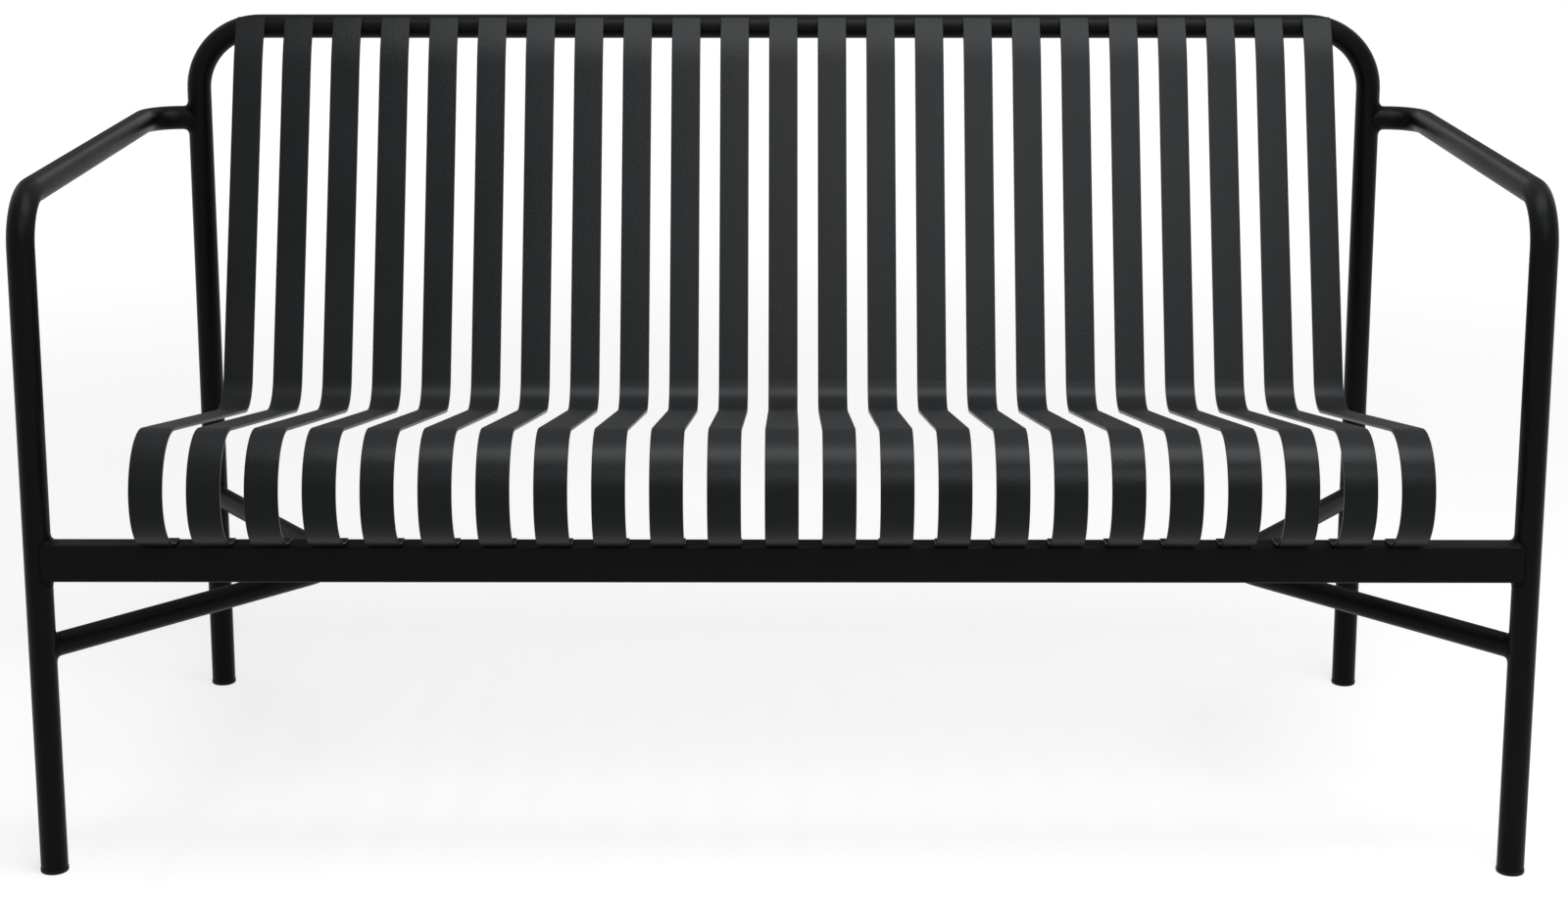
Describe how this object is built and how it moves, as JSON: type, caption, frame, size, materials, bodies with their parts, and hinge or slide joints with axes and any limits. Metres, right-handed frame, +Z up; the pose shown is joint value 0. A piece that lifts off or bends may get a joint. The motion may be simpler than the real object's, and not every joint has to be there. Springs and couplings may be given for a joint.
{
  "type": "patio loveseat",
  "caption": "Welded steel patio loveseat: bent round tube frame with open arms, and flat strips that curl over the front edge to form seat and back.",
  "frame": {"origin": "on the ground, under the middle of the loveseat's overall width and depth", "axes": "+X along the seat, to the right as seen from the front; +Y from the front to the back; +Z up"},
  "size_m": [1.3758, 0.5953, 0.742],
  "materials": {
    "frame_coat": "anthracite powder coat, satin, on the tubes, the rail and the weld beads",
    "slat_coat": "anthracite powder coat, satin, on flat strips that catch more light",
    "foot_plastic": "black moulded plastic, matt"
  },
  "bodies": {
    "root": {"back_frame": "frame_coat", "front_rail": "frame_coat", "front_leg_arm_left": "frame_coat", "seat_brace_left": "frame_coat", "foot_cap_front_left": "foot_plastic", "foot_cap_rear_left": "foot_plastic", "front_leg_arm_right": "frame_coat", "seat_brace_right": "frame_coat", "foot_cap_front_right": "foot_plastic", "foot_cap_rear_right": "foot_plastic", "slat_01": "slat_coat", "slat_02": "slat_coat", "slat_03": "slat_coat", "slat_04": "slat_coat", "slat_05": "slat_coat", "slat_06": "slat_coat", "slat_07": "slat_coat", "slat_08": "slat_coat", "slat_09": "slat_coat", "slat_10": "slat_coat", "slat_11": "slat_coat", "slat_12": "slat_coat", "slat_13": "slat_coat", "slat_14": "slat_coat", "slat_15": "slat_coat", "slat_16": "slat_coat", "slat_17": "slat_coat", "slat_18": "slat_coat", "slat_19": "slat_coat", "slat_20": "slat_coat", "slat_21": "slat_coat", "slat_22": "slat_coat", "slat_23": "slat_coat", "arm_weld_left": "frame_coat", "brace_weld_front_left": "frame_coat", "brace_weld_rear_left": "frame_coat", "rail_weld_left": "frame_coat", "arm_weld_right": "frame_coat", "brace_weld_front_right": "frame_coat", "brace_weld_rear_right": "frame_coat", "rail_weld_right": "frame_coat", "slat_front_welds": "frame_coat", "slat_top_welds": "frame_coat"}
  },
  "joints": []
}
